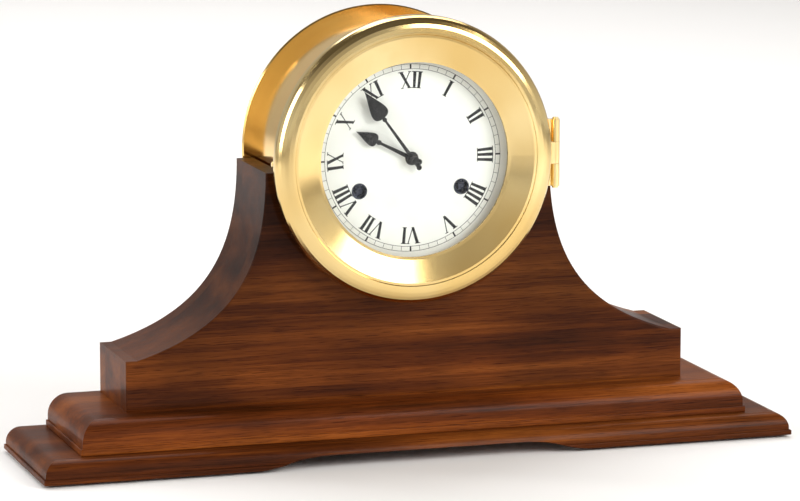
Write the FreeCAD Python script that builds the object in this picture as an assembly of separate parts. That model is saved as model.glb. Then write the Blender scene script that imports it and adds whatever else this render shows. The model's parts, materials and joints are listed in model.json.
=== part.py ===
"""Ship's-bell mantel clock: a round brass drum clock that lies in the cradle of a stepped mahogany case.

Millimetres. +X is the dial's right, +Y the back, +Z up; the origin is on the surface under the clock's middle.
The movement is laid out round the dial's centre: (x, z) places are counted from there, y from the case's middle.
"""
import FreeCAD
import Part

import math
import os

V = FreeCAD.Vector

# ---------------------------------------------------------------- wooden case
PAD_HEIGHT = 2.0
PAD_RADIUS = 11.0
PAD_INSET = 30.0            # from the plinth's edges to a pad's middle
PLINTH_WIDTH = 600.0
PLINTH_THICK = 17.0
PLINTH_STEP = 4.0           # height of the plinth's plain lower face
PLINTH_LEDGE = 1.5          # how far the rounded upper part stands in from it
PLINTH_ROUND = 11.5
ARCH_RISE = 8.5             # height of the hollow between the plinth's two long feet
ARCH_FLAT = 75.0            # half the width of the hollow's level part
ARCH_REACH = 132.0          # half its whole width
MOULDING_WIDTH = 535.0
MOULDING_THICK = 25.0
MOULDING_STEP = 5.0
MOULDING_LEDGE = 1.5
MOULDING_ROUND = 16.0
BODY_WIDTH = 450.0
BODY_DEPTH = 84.0
SHOULDER_HEIGHT = 39.0      # of the body's ends
SHOULDER_FLAT = 9.0         # level stretch at each end of the body
MOULDING_REACH = 30.0       # how far the moulding stands out in front of the body
PLINTH_REACH = 17.0         # how far the plinth stands out in front of the moulding
MOULDING_BACK = 3.0         # how far the moulding stands out behind the body
PLINTH_BACK = 7.0           # how far the plinth stands out behind the body
FACE_BOARD = 18.0
HORN_WIDTH = 12.5           # wood beside the drum, at the top of the cradle
HORN_DROP = 7.0             # how far the horns end below the dial's centre
DIAL_RISE = 185.0           # dial's centre above the body's foot
EDGE_ROUND = 1.4
SCREW_SPOTS = (-190.0, -70.0, 70.0, 190.0)
WOOD_SCREW_RADIUS = 2.2
WOOD_SCREW_HEAD = 5.0
WOOD_SCREW_HEIGHT = 3.0     # of the head
WOOD_SCREW_SINK = 1.0       # how deep the head lies in the plinth
WOOD_SCREW_REACH = 24.0     # thread length in the body

# ---------------------------------------------------------------- brass case
DRUM_RADIUS = 100.0
DRUM_WALL = 2.5
FELT = 1.4
FIT = 0.2                   # gap between pieces laid in one another
FLANGE_WIDTH = 9.0
FLANGE_THICK = 4.0
BACK_THICK = 2.0
RING_DEPTH = 7.6            # of the front ring that the bezel closes on
RING_BORE = 88.0
SEAT_BORE = 82.0            # of the ledge that carries the dial
BEZEL_OVERHANG = 11.0       # how far the bezel stands out past the drum
BEZEL_DEPTH = 12.6
BEZEL_CREST = 97.0          # radius of the bezel's foremost line
GLASS_OPENING = 75.0
GLASS_LIP = 4.0
GLASS_THICK = 1.6
GLASS_SETBACK = 7.6         # from the crest back to the opening
HINGE_PIN = 1.5
HINGE_BARREL = 3.5
HINGE_LENGTH = 52.0
CATCH_RADIUS = 2.2
CATCH_TRAVEL = 1.5

# ---------------------------------------------------------------- dial and hands
DIAL_RADIUS = 87.0
DIAL_THICK = 1.2
DIAL_GAP = 6.9              # from the front plate to the back of the dial
WINDING_HOLE = 5.5
HOUR_HAND = 50.0
MINUTE_HAND = 66.0
HOURS, MINUTES = 9, 54

# ---------------------------------------------------------------- movement
PLATE_THICK = 3.0
PLATE_SPACE = 35.0          # between the plates
FRONT_PLATE_RADIUS = 93.5
BACK_PLATE_RADIUS = 86.0
PILLAR_RING = 81.0
PILLAR_RADIUS = 4.0
PILLAR_ANGLES = (35, 145, 235, 305)
LUG_ANGLES = (90, 210, 330)
LUG_RADIUS = 4.0
LUG_INSET = 3.0             # of the case screws from the front plate's edge
LUG_LENGTH = 8.0
SCREW_RADIUS = 1.5
WINDING_X, WINDING_Z = 41.0, -24.0
PIVOT_RADIUS = 0.8
ARBOR_RADIUS = 1.2
CENTRE_ARBOR = 1.5
WINDING_ARBOR = 3.0
RUNNING = 0.1               # radial clearance of every turning fit
END_SHAKE = 0.2
BARREL_RADIUS = 33.0
BARREL_WALL = 1.6
BELL_RADIUS = 50.0
BELL_DROP = -10.0           # bell's middle, from the dial's centre
BALANCE_RADIUS = 14.0
BALANCE_PIVOT = 0.6
COCK_SCREW = 1.0
INDEX_BORE = 2.4            # of the regulator, on the balance cock's collar
ESCAPE_RADIUS = 7.0
RATCHET_RADIUS = 9.0
RATCHET_TEETH = 24

# teeth of each wheel and of the pinion that it turns, and their module
BARREL_GEAR = (72, 12, 1.0)
SECOND_GEAR = (60, 10, 0.7)
CENTRE_GEAR = (64, 8, 0.6)
THIRD_GEAR = (60, 8, 0.5)
FOURTH_GEAR = (70, 7, 0.4)
PIN_GEAR = (56, 8, 0.6)
WARNING_GEAR = (48, 8, 0.5)
MINUTE_GEAR = (42, 14, 0.5)     # the cannon pinion turns the minute wheel
HOUR_GEAR = (40, 10, 0.56)      # and the minute wheel's pinion the hour wheel
ESCAPE_TEETH = 15

# ---------------------------------------------------------------- levels and places worked out
PLINTH_TOP = PAD_HEIGHT + PLINTH_THICK
BODY_FOOT = PLINTH_TOP + MOULDING_THICK
DIAL_Z = BODY_FOOT + DIAL_RISE
FRONT = -BODY_DEPTH / 2
BACK = BODY_DEPTH / 2
CRADLE_RADIUS = DRUM_RADIUS + FELT + 2 * FIT
RING_BACK = FRONT - 2 * FIT
RING_FRONT = RING_BACK - RING_DEPTH
BEZEL_BACK = RING_FRONT - FIT
BEZEL_FRONT = BEZEL_BACK - BEZEL_DEPTH
GLASS_FRONT = BEZEL_FRONT + GLASS_SETBACK + 0.4
GLASS_BACK = GLASS_FRONT + GLASS_THICK
FLANGE_FRONT = BACK + 2 * FIT
DRUM_END = FLANGE_FRONT + FLANGE_THICK
DRUM_BORE = DRUM_RADIUS - DRUM_WALL
BEZEL_RADIUS = DRUM_RADIUS + BEZEL_OVERHANG
DIAL_BACK = RING_BACK - 0.9
DIAL_FRONT = DIAL_BACK - DIAL_THICK
PLATE_1_FRONT = DIAL_BACK + DIAL_GAP
PLATE_1 = PLATE_1_FRONT + PLATE_THICK       # inner face of the front plate
PLATE_2 = PLATE_1 + PLATE_SPACE             # inner face of the back plate
PLATE_2_BACK = PLATE_2 + PLATE_THICK
HINGE_X = BEZEL_RADIUS + HINGE_BARREL + 1.0
HINGE_Y = (RING_FRONT + BEZEL_BACK) / 2
PLINTH_FRONT_Y = FRONT - MOULDING_REACH - PLINTH_REACH
PLINTH_BACK_Y = BACK + PLINTH_BACK
ORIGIN_Y = (PLINTH_FRONT_Y + PLINTH_BACK_Y) / 2     # the finished clock's y = 0


# ================================================================ small helpers
def polar(origin, distance, degrees):
    """The (x, z) place at that distance and angle from origin, counted from +X towards +Z."""
    a = math.radians(degrees)
    return origin[0] + distance * math.cos(a), origin[1] + distance * math.sin(a)


def bearing(a, b):
    """The angle in radians at which b lies from a."""
    return math.atan2(b[1] - a[1], b[0] - a[0])


def meeting(a, reach_a, b, reach_b):
    """The place at reach_a from a and reach_b from b, on the left of the way from a to b."""
    d = math.dist(a, b)
    along = (reach_a**2 - reach_b**2 + d**2) / (2 * d)
    aside = math.sqrt(reach_a**2 - along**2)
    ux, uz = (b[0] - a[0]) / d, (b[1] - a[1]) / d
    return a[0] + along * ux - aside * uz, a[1] + along * uz + aside * ux


def reach(gear):
    """Centre distance of a wheel and the pinion that it turns."""
    wheel, pinion, module = gear
    return module * (wheel + pinion) / 2


def disc(radius, y0, y1, at=(0, 0)):
    return Part.makeCylinder(radius, y1 - y0, V(at[0], y0, at[1]), V(0, 1, 0))


def ring(outer, inner, y0, y1, at=(0, 0)):
    return disc(outer, y0, y1, at).cut(disc(inner, y0 - 1, y1 + 1, at))


def block(x0, x1, y0, y1, z0, z1):
    return Part.makeBox(x1 - x0, y1 - y0, z1 - z0, V(x0, y0, z0))


def sheet(points, y0, y1):
    """A closed (x, z) polygon with thickness from y0 to y1."""
    corners = [V(x, y0, z) for x, z in points]
    face = Part.Face(Part.makePolygon(corners + corners[:1]))
    return face.extrude(V(0, y1 - y0, 0))


def turned(profile, at=(0, 0)):
    """A closed (radius, y) profile turned about the axis through at."""
    corners = [V(at[0] + r, y, at[1]) for r, y in profile]
    face = Part.Face(Part.makePolygon(corners + corners[:1]))
    return face.revolve(V(at[0], 0, at[1]), V(0, 1, 0), 360)


def link(a, radius_a, b, radius_b, y0, y1):
    """A flat bar with round ends of two sizes."""
    d = math.dist(a, b)
    lean = math.acos((radius_a - radius_b) / d)
    way = bearing(a, b)
    corners = [
        (c[0] + r * math.cos(way + s * lean), c[1] + r * math.sin(way + s * lean))
        for c, r, s in ((a, radius_a, 1), (b, radius_b, 1), (b, radius_b, -1), (a, radius_a, -1))
    ]
    return sheet(corners, y0, y1).fuse([disc(radius_a, y0, y1, a), disc(radius_b, y0, y1, b)]).removeSplitter()


def spun(shape, degrees, at=(0, 0)):
    """A copy turned clockwise as seen from the front."""
    copy = shape.copy()
    copy.rotate(V(at[0], 0, at[1]), V(0, 1, 0), degrees)
    return copy


def fused(pieces):
    return pieces[0].fuse(pieces[1:]).removeSplitter()


def hole_row(radius, y0, y1, places):
    return [disc(radius, y0, y1, p) for p in places]


# ================================================================ gears
def epicycloid(base, roller, height, steps=3):
    """(rise, turn) along the curve that a circle of radius roller draws as it rolls on radius base."""
    path = []
    big = base + roller
    for i in range(steps + 1):
        rise = height * i / steps
        cosine = (big**2 + roller**2 - (base + rise) ** 2) / (2 * roller * big)
        t = math.acos(max(-1.0, min(1.0, cosine))) * roller / base
        x = big * math.cos(t) - roller * math.cos(big / roller * t)
        z = big * math.sin(t) - roller * math.sin(big / roller * t)
        path.append((rise, math.atan2(z, x)))
    return path


def toothed(teeth, mate, module, phase, y0, y1, at, pinion=False):
    """A cycloidal wheel or pinion with radial flanks. One tooth stands at the angle phase."""
    base = module * teeth / 2
    tip, root, fullness = (0.5, 1.55, 0.8) if pinion else (1.1, 1.15, 0.9)
    half = math.pi / (2 * teeth) * fullness
    flank = [(-root * module, half)]
    flank += [(rise, half - turn) for rise, turn in epicycloid(base, module * mate / 4, tip * module)]
    points = []
    for i in range(teeth):
        middle = phase + 2 * math.pi * i / teeth
        side = [(base + rise, middle - turn) for rise, turn in flank]
        side += [(base + rise, middle + turn) for rise, turn in reversed(flank)]
        points += [(at[0] + r * math.cos(a), at[1] + r * math.sin(a)) for r, a in side]
    return sheet(points, y0, y1)


def mesh_phase(gear, wheel_at, pinion_at, wheel_phase=0.0):
    """The pinion's phase that puts a gap of it on a tooth of its wheel."""
    wheel, pinion, _ = gear
    way = bearing(wheel_at, pinion_at)
    share = (wheel_phase - way) * wheel / (2 * math.pi)
    return way + math.pi + (0.5 - share) * 2 * math.pi / pinion


def wheel_disc(gear, y0, y1, at, spokes=4):
    """A crossed-out wheel: rim, spokes and a hub that its arbor fills."""
    teeth, mate, module = gear
    rim = module * teeth / 2 - 1.15 * module - 1.4
    blank = toothed(teeth, mate, module, 0.0, y0, y1, at)
    windows = ring(rim, 3.4, y0 - 1, y1 + 1, at)
    for i in range(spokes):
        bar = block(at[0], at[0] + rim + 1, y0 - 2, y1 + 2, at[1] - 0.9, at[1] + 0.9)
        windows = windows.cut(spun(bar, 360 * i / spokes, at))
    return blank.cut(windows)


def pinion_disc(gear, wheel_at, y0, y1, at):
    teeth, pinion, module = gear
    return toothed(pinion, teeth, module, mesh_phase(gear, wheel_at, at), y0, y1, at, pinion=True)


def arbor(at, radius=ARBOR_RADIUS):
    """An arbor between the plates, with a pivot in each."""
    shaft = disc(radius, PLATE_1 + END_SHAKE, PLATE_2 - END_SHAKE, at)
    return fused([shaft, disc(PIVOT_RADIUS, PLATE_1_FRONT + 0.4, PLATE_2_BACK - 0.4, at)])


def wheel_set(at, wheel, wheel_y, pinion=None, pinion_y=None, driver_at=None, spokes=4):
    """A wheel and pinion on one arbor; pinion is the gear pair in which this arbor's pinion is turned."""
    pieces = [arbor(at), wheel_disc(wheel, wheel_y[0], wheel_y[1], at, spokes)]
    if pinion:
        pieces.append(pinion_disc(pinion, driver_at, pinion_y[0], pinion_y[1], at))
    return fused(pieces)


# ---------------------------------------------------------------- places of the arbors, from the dial's centre
CENTRE = (0.0, 0.0)
GOING_BARREL = (WINDING_X, WINDING_Z)
STRIKE_BARREL = (-WINDING_X, WINDING_Z)
INTERMEDIATE = meeting(GOING_BARREL, reach(BARREL_GEAR), CENTRE, reach(SECOND_GEAR))
if INTERMEDIATE[1] < 0:
    INTERMEDIATE = meeting(CENTRE, reach(SECOND_GEAR), GOING_BARREL, reach(BARREL_GEAR))
THIRD = polar(CENTRE, reach(CENTRE_GEAR), 100)
FOURTH = polar(THIRD, reach(THIRD_GEAR), 60)
ESCAPE = polar(FOURTH, reach(FOURTH_GEAR), 90)
LEVER = polar(ESCAPE, ESCAPE_RADIUS + 2.8, 90)
BALANCE = polar(LEVER, 11.0, 90)
STRIKE_SECOND = polar(STRIKE_BARREL, reach(BARREL_GEAR), 75)
PIN_WHEEL = polar(STRIKE_SECOND, reach(SECOND_GEAR), 80)
WARNING = polar(PIN_WHEEL, reach(PIN_GEAR), 100)
FLY = polar(WARNING, reach(WARNING_GEAR), 190)
HAMMER_HEAD = polar((0, BELL_DROP), BELL_RADIUS + 5.6, 100)
HAMMER = polar(HAMMER_HEAD, 40.0, 190)
RELEASE = (-16.0, 44.0)
MINUTE_WHEEL = polar(CENTRE, reach(MINUTE_GEAR), 10)
PIVOTS = (INTERMEDIATE, THIRD, FOURTH, ESCAPE, LEVER, STRIKE_SECOND, PIN_WHEEL, WARNING, FLY)
PILLARS = [polar(CENTRE, PILLAR_RING, a) for a in PILLAR_ANGLES]
LUG_RING = FRONT_PLATE_RADIUS - LUG_INSET
LUGS = [polar(CENTRE, LUG_RING, a) for a in LUG_ANGLES]

# depths of the layers, counted back from the front plate's inner face
BARREL_Y = (PLATE_1 + 2.5, PLATE_1 + 24.5)
BARREL_TEETH_Y = (BARREL_Y[1] - 3.0, BARREL_Y[1])
SECOND_Y = (PLATE_1 + 28.3, PLATE_1 + 29.8)
CENTRE_Y = (PLATE_1 + 25.5, PLATE_1 + 27.0)
THIRD_Y = (PLATE_1 + 18.5, PLATE_1 + 19.7)
FOURTH_Y = (PLATE_1 + 11.5, PLATE_1 + 12.5)
ESCAPE_Y = (PLATE_2 - 3.5, PLATE_2 - 2.5)
PIN_Y = (PLATE_1 + 22.5, PLATE_1 + 24.0)
WARNING_Y = (PLATE_1 + 13.5, PLATE_1 + 14.5)
FIRST_PINION_Y = (BARREL_TEETH_Y[0] - 1.0, BARREL_TEETH_Y[1] + 0.4)
MINUTE_Y = (PLATE_1_FRONT - 2.8, PLATE_1_FRONT - 1.2)
HOUR_Y = (DIAL_BACK + 1.5, DIAL_BACK + 2.9)
RATCHET_Y = (PLATE_1_FRONT - 3.0, PLATE_1_FRONT - 0.8)
BALANCE_Y = (PLATE_2_BACK + 3.5, PLATE_2_BACK + 5.5)
COCK_Y = (PLATE_2_BACK + 9.5, PLATE_2_BACK + 12.5)


# ================================================================ wooden case
def body_outline():
    """The body's front outline as a wire at y = 0: foot, ends, shoulders, hollow sweeps, horns and cradle."""
    half = BODY_WIDTH / 2
    shoulder = BODY_FOOT + SHOULDER_HEIGHT
    horn = CRADLE_RADIUS + HORN_WIDTH
    sweep = half - SHOULDER_FLAT
    top = DIAL_Z - HORN_DROP
    rise = top - shoulder

    def sweep_curve(side):
        poles = [
            V(side * sweep, 0, shoulder),
            V(side * (horn + 0.22 * (sweep - horn)), 0, shoulder + 0.16 * rise),
            V(side * horn, 0, shoulder + 0.5 * rise),
            V(side * horn, 0, top),
        ]
        curve = Part.BezierCurve()
        curve.setPoles(poles)
        return curve.toShape()

    def line(x0, z0, x1, z1):
        return Part.makeLine(V(x0, 0, z0), V(x1, 0, z1))

    lip = math.sqrt(CRADLE_RADIUS**2 - HORN_DROP**2)
    cradle = Part.Arc(V(-lip, 0, top), V(0, 0, DIAL_Z - CRADLE_RADIUS), V(lip, 0, top)).toShape()
    edges = [
        line(-half, BODY_FOOT, half, BODY_FOOT),
        line(half, BODY_FOOT, half, shoulder),
        line(half, shoulder, sweep, shoulder),
        sweep_curve(1),
        line(horn, top, lip, top),
        cradle,
        line(-lip, top, -horn, top),
        sweep_curve(-1),
        line(-sweep, shoulder, -half, shoulder),
        line(-half, shoulder, -half, BODY_FOOT),
    ]
    return Part.Wire(Part.__sortEdges__(edges))


def body_slab(y0, y1):
    face = Part.Face(body_outline())
    face.translate(V(0, y0, 0))
    return face.extrude(V(0, y1 - y0, 0))


def right_half():
    """The space that the right half of the body lies in."""
    return block(0, BODY_WIDTH, FRONT, BACK, 0, DIAL_Z + 1)


def eased(slab, y):
    """Rounds the outline's edges on the face at y, apart from the foot, the middle and any small holes."""
    edges = [
        e
        for e in slab.Edges
        if abs(e.BoundBox.YMin - y) < 1e-6 and abs(e.BoundBox.YMax - y) < 1e-6
        and e.BoundBox.ZMax > BODY_FOOT + 1 and e.BoundBox.DiagonalLength > 3 * WOOD_SCREW_RADIUS
        and (e.BoundBox.XMax > 1 or e.BoundBox.XMin < -1)
    ]
    return slab.makeFillet(EDGE_ROUND, edges)


def wood_screw_holes(radius, z0, z1):
    """Upright holes for the screws that hold the case's tiers together."""
    return [Part.makeCylinder(radius, z1 - z0, V(x, 0, z0)) for x in SCREW_SPOTS]


def flange_screw_places():
    return [polar(CENTRE, DRUM_RADIUS + FLANGE_WIDTH / 2, a) for a in (230, 270, 310)]


def tier(width, front, back, z0, z1, step, ledge, top_round):
    """One board of the base: a plain lower face, a ledge, and a rounded upper part on the ends and the front."""
    lower = block(-width / 2, width / 2, front, back, z0, z0 + step)
    upper = block(-width / 2 + ledge, width / 2 - ledge, front + ledge, back, z0 + step, z1)

    def rim(shape, z):
        return [
            e
            for e in shape.Edges
            if abs(e.BoundBox.ZMin - z) < 1e-6 and abs(e.BoundBox.ZMax - z) < 1e-6
            and e.BoundBox.YMin < back - 1e-6
        ]

    lower = lower.makeFillet(EDGE_ROUND / 2, rim(lower, z0 + step) + rim(lower, z0))
    upper = upper.makeFillet(top_round, rim(upper, z1))
    return lower.fuse(upper).removeSplitter()


def arch():
    """The hollow under the plinth, which leaves it standing on a long foot at each end."""
    top = PAD_HEIGHT + ARCH_RISE
    turn = ARCH_FLAT + 0.55 * (ARCH_REACH - ARCH_FLAT)
    y = PLINTH_FRONT_Y - 1

    def end_curve(side):
        curve = Part.BezierCurve()
        curve.setPoles([V(side * ARCH_FLAT, y, top), V(side * turn, y, top),
                        V(side * turn, y, PAD_HEIGHT + 0.3 * ARCH_RISE), V(side * ARCH_REACH, y, PAD_HEIGHT)])
        return curve.toShape()

    corners = [V(-ARCH_REACH, y, PAD_HEIGHT), V(-ARCH_REACH, y, 0), V(ARCH_REACH, y, 0), V(ARCH_REACH, y, PAD_HEIGHT)]
    edges = [Part.makeLine(a, b) for a, b in zip(corners, corners[1:])]
    edges += [end_curve(1), end_curve(-1), Part.makeLine(V(-ARCH_FLAT, y, top), V(ARCH_FLAT, y, top))]
    face = Part.Face(Part.Wire(Part.__sortEdges__(edges)))
    return face.extrude(V(0, PLINTH_BACK_Y - PLINTH_FRONT_Y + 2, 0))


def underside(x):
    """Height of the plinth's lower face where a screw goes in at x."""
    return PAD_HEIGHT + (ARCH_RISE if abs(x) < ARCH_FLAT else 0)


def plinth():
    board = tier(PLINTH_WIDTH, PLINTH_FRONT_Y, PLINTH_BACK_Y, PAD_HEIGHT, PLINTH_TOP,
                 PLINTH_STEP, PLINTH_LEDGE, PLINTH_ROUND)
    holes = wood_screw_holes(WOOD_SCREW_RADIUS + FIT, 0, PLINTH_TOP + 1)
    depth = WOOD_SCREW_SINK + WOOD_SCREW_HEIGHT
    holes += [Part.makeCylinder(WOOD_SCREW_HEAD + FIT, underside(x) + depth, V(x, 0, 0)) for x in SCREW_SPOTS]
    return board.cut(holes + [arch()])


def base_moulding():
    board = tier(MOULDING_WIDTH, FRONT - MOULDING_REACH, BACK + MOULDING_BACK, PLINTH_TOP, BODY_FOOT,
                 MOULDING_STEP, MOULDING_LEDGE, MOULDING_ROUND)
    return board.cut(wood_screw_holes(WOOD_SCREW_RADIUS + FIT, PLINTH_TOP - 1, BODY_FOOT + 1))


def front_board():
    """Its right half is eased and then mirrored, so that both shoulders are alike."""
    half = eased(body_slab(FRONT, FRONT + FACE_BOARD).common(right_half()), FRONT)
    return half.fuse(half.mirror(V(0, 0, 0), V(1, 0, 0))).removeSplitter()


def back_board():
    pilots = hole_row(SCREW_RADIUS + FIT / 2, BACK - 13, BACK + 1, flange_screw_places())
    for pilot in pilots:
        pilot.translate(V(0, 0, DIAL_Z))
    return eased(body_slab(BACK - FACE_BOARD, BACK).cut(pilots), BACK)


def core_block(side):
    """Half of the wood between the two face boards."""
    slab = body_slab(FRONT + FACE_BOARD, BACK - FACE_BOARD)
    half = right_half()
    if side < 0:
        half.translate(V(-BODY_WIDTH, 0, 0))
    pilots = wood_screw_holes(WOOD_SCREW_RADIUS + FIT / 2, BODY_FOOT - 1, BODY_FOOT + WOOD_SCREW_REACH + 1)
    return slab.common(half).cut(pilots)


def base_screws():
    screws = []
    for x in SCREW_SPOTS:
        foot = underside(x) + WOOD_SCREW_SINK
        head = Part.makeCylinder(WOOD_SCREW_HEAD, WOOD_SCREW_HEIGHT, V(x, 0, foot))
        slot = block(x - 6, x + 6, -0.5, 0.5, foot - 1, foot + 1)
        stem = Part.makeCylinder(WOOD_SCREW_RADIUS, BODY_FOOT + WOOD_SCREW_REACH - foot, V(x, 0, foot))
        screws.append(head.fuse(stem).removeSplitter().cut(slot))
    return Part.makeCompound(screws)


def feet():
    x = PLINTH_WIDTH / 2 - PAD_INSET
    front = PLINTH_FRONT_Y + PAD_INSET
    back = PLINTH_BACK_Y - PAD_INSET
    places = [(s * x, y) for s in (-1, 1) for y in (front, back)]
    return Part.makeCompound([Part.makeCylinder(PAD_RADIUS, PAD_HEIGHT, V(x, y, 0)) for x, y in places])


def cradle_felt():
    """The strip that lines the cradle."""
    strip = ring(DRUM_RADIUS + FIT + FELT, DRUM_RADIUS + FIT, FRONT + 1, BACK - 1)
    lower = block(-CRADLE_RADIUS, CRADLE_RADIUS, FRONT, BACK, -CRADLE_RADIUS, -HORN_DROP - 3)
    return strip.common(lower)


# ================================================================ brass case
def drum_shell():
    """Drum, closed back, back flange and the three lugs that carry the movement."""
    r, bore = DRUM_RADIUS, DRUM_BORE
    flange = r + FLANGE_WIDTH
    crown = FLANGE_THICK / 2
    lug_y = (PLATE_1 + FIT / 2, PLATE_1 + LUG_LENGTH)
    shell = turned([
        (0, DRUM_END - BACK_THICK), (bore, DRUM_END - BACK_THICK), (bore, RING_BACK), (r, RING_BACK),
        (r, FLANGE_FRONT), (flange - 1, FLANGE_FRONT), (flange, FLANGE_FRONT + 1),
        (flange, FLANGE_FRONT + crown), (flange - crown, DRUM_END), (r - 4, DRUM_END),
        (r - 6, DRUM_END + 1.5), (8, DRUM_END + 1.5), (0, DRUM_END + 1.5),
    ])
    for place in LUGS:
        lug = disc(LUG_RADIUS, *lug_y, place)
        bridge = spun(block(LUG_RING, DRUM_BORE + 1, *lug_y, -LUG_RADIUS, LUG_RADIUS),
                      -math.degrees(bearing(CENTRE, place)))
        arm = lug.fuse(bridge).cut(disc(SCREW_RADIUS + FIT / 2, lug_y[0] - 1, lug_y[1] - 1, place))
        shell = shell.fuse(arm.common(disc(DRUM_BORE + 1, lug_y[0] - 1, lug_y[1] + 1)))
    holes = hole_row(SCREW_RADIUS + FIT, FLANGE_FRONT - 1, DRUM_END + 1, flange_screw_places())
    return shell.cut(holes).removeSplitter()


def flange_screws():
    """Round-head screws that hold the flange to the back board."""
    screws = []
    for place in flange_screw_places():
        stem = disc(SCREW_RADIUS, BACK - 12, DRUM_END + 0.5, place)
        head = turned([(0, DRUM_END), (2.5, DRUM_END), (2.5, DRUM_END + 0.8), (1.8, DRUM_END + 1.8),
                       (0, DRUM_END + 2.2)], place)
        slot = block(place[0] - 4, place[0] + 4, DRUM_END + 1.2, DRUM_END + 4, place[1] - 0.4, place[1] + 0.4)
        screws.append(head.fuse(stem).removeSplitter().cut(slot))
    return Part.makeCompound(screws)


def knuckles(spans, plate_y):
    """Hinge barrels over these spans of height, each with a leaf that reaches back over the ring."""
    found = []
    for z0, z1 in spans:
        barrel = Part.makeCylinder(HINGE_BARREL, z1 - z0, V(HINGE_X, HINGE_Y, z0))
        leaf = block(RING_BORE + 12, HINGE_X, plate_y[0], plate_y[1], z0, z1)
        bore = Part.makeCylinder(HINGE_PIN + RUNNING / 2, z1 - z0 + 2, V(HINGE_X, HINGE_Y, z0 - 1))
        found.append(barrel.fuse(leaf).cut(bore))
    return found


def front_ring():
    """The ring on the front of the drum: flange, spigot, dial seat, hinge barrels and the catch's bore."""
    outer = BEZEL_RADIUS - 3
    spigot = DRUM_BORE - FIT / 2
    seat_back = DIAL_BACK + 2.2
    body = turned([
        (RING_BORE, DIAL_BACK), (RING_BORE, RING_FRONT), (outer - 1, RING_FRONT), (outer, RING_FRONT + 1),
        (outer, RING_BACK - 1), (outer - 1, RING_BACK), (spigot, RING_BACK), (spigot, RING_BACK + 4),
        (spigot - 2.5, RING_BACK + 4), (spigot - 2.5, seat_back), (SEAT_BORE, seat_back),
        (SEAT_BORE, DIAL_BACK),
    ])
    end, gap = HINGE_LENGTH / 2, HINGE_LENGTH / 6
    body = body.fuse(knuckles([(-end, -gap), (gap, end)], (RING_FRONT, RING_FRONT + 3.4)))
    catch_y = (RING_FRONT + RING_BACK) / 2
    bore = Part.makeCylinder(CATCH_RADIUS + FIT / 2, 16, V(-outer - 1, catch_y, 0), V(1, 0, 0))
    slot = block(-101.6, -98.4, RING_FRONT - 1, RING_BACK - 1.6, 4.6, 11.4)
    slot.translate(V(100 - (RING_BORE + outer) / 2, 0, 0))
    dial_pilots = hole_row(0.9, DIAL_BACK - 1, DIAL_BACK + 3, dial_screw_places())
    return body.cut([bore, slot] + dial_pilots).removeSplitter()


def hinge_pin():
    """Pin with a round head at each end."""
    end = HINGE_LENGTH / 2
    pin = Part.makeCylinder(HINGE_PIN, 2 * end + 2, V(HINGE_X, HINGE_Y, -end - 1))
    caps = [Part.makeCylinder(HINGE_PIN + 0.9, 1.2, V(HINGE_X, HINGE_Y, z)) for z in (end + FIT, -end - FIT - 1.2)]
    return fused([pin] + caps)


def bezel():
    """The hinged ring that holds the glass: round outside, a small step at the crest, a cone in to the glass."""
    depth = BEZEL_CREST + 2.0
    straight = 3.4
    rise = BEZEL_DEPTH - straight
    width = BEZEL_RADIUS - depth
    shoulder = [
        (depth + width * math.cos(math.radians(a)), BEZEL_BACK - straight - rise * math.sin(math.radians(a)))
        for a in (0, 15, 30, 45, 60, 75, 90)
    ]
    lip = GLASS_OPENING
    profile = [(BEZEL_RADIUS, BEZEL_BACK)] + shoulder + [
        (BEZEL_CREST, BEZEL_FRONT), (BEZEL_CREST - 0.6, BEZEL_FRONT + 1.0),
        (BEZEL_CREST - 2.4, BEZEL_FRONT + 1.0), (lip + 2.2, BEZEL_FRONT + GLASS_SETBACK - 1.4),
        (lip, BEZEL_FRONT + GLASS_SETBACK - 1.0), (lip, GLASS_FRONT), (lip + GLASS_LIP, GLASS_FRONT),
        (lip + GLASS_LIP, BEZEL_BACK - 1.0), (lip + GLASS_LIP + 4, BEZEL_BACK - 1.0),
        (lip + GLASS_LIP + 7, BEZEL_BACK - 3.6), (BEZEL_RADIUS - 6, BEZEL_BACK - 3.6),
        (BEZEL_RADIUS - 5, BEZEL_BACK),
    ]
    body = turned(profile)
    gap = HINGE_LENGTH / 6 - 0.3
    body = body.fuse(knuckles([(-gap, gap)], (BEZEL_BACK - 3.2, BEZEL_BACK)))
    tongue_x = -(RING_BORE + BEZEL_RADIUS - 3) / 2
    tongue = block(tongue_x - 1, tongue_x + 1, BEZEL_BACK - 6, BEZEL_BACK + 4.2, 5, 11)
    return body.fuse(tongue).removeSplitter()


def glass():
    return disc(GLASS_OPENING + GLASS_LIP - FIT / 2, GLASS_FRONT, GLASS_BACK)


def glass_ring():
    """The ring that holds the glass in the bezel."""
    outer = GLASS_OPENING + GLASS_LIP - FIT / 2
    back = BEZEL_BACK - 1.2
    return turned([
        (outer, GLASS_BACK), (outer, back), (outer - 2.6, back), (outer - 3.4, back - 0.8), (outer - 3.4, GLASS_BACK),
    ])


def catch_button():
    """The push button that frees the bezel. It travels inwards, along +X."""
    y = (RING_FRONT + RING_BACK) / 2
    outer = BEZEL_RADIUS - 3
    stem = Part.makeCylinder(CATCH_RADIUS, 15, V(-outer - CATCH_TRAVEL - 1.6, y, 0), V(1, 0, 0))
    edges = [e for e in stem.Edges if e.BoundBox.XMax < -outer]
    return stem.makeFillet(0.8, edges)


# ================================================================ dial and hands
def dial_screw_places():
    return [polar(CENTRE, (DIAL_RADIUS + SEAT_BORE) / 2, a) for a in (45, 135, 225, 315)]


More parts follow.
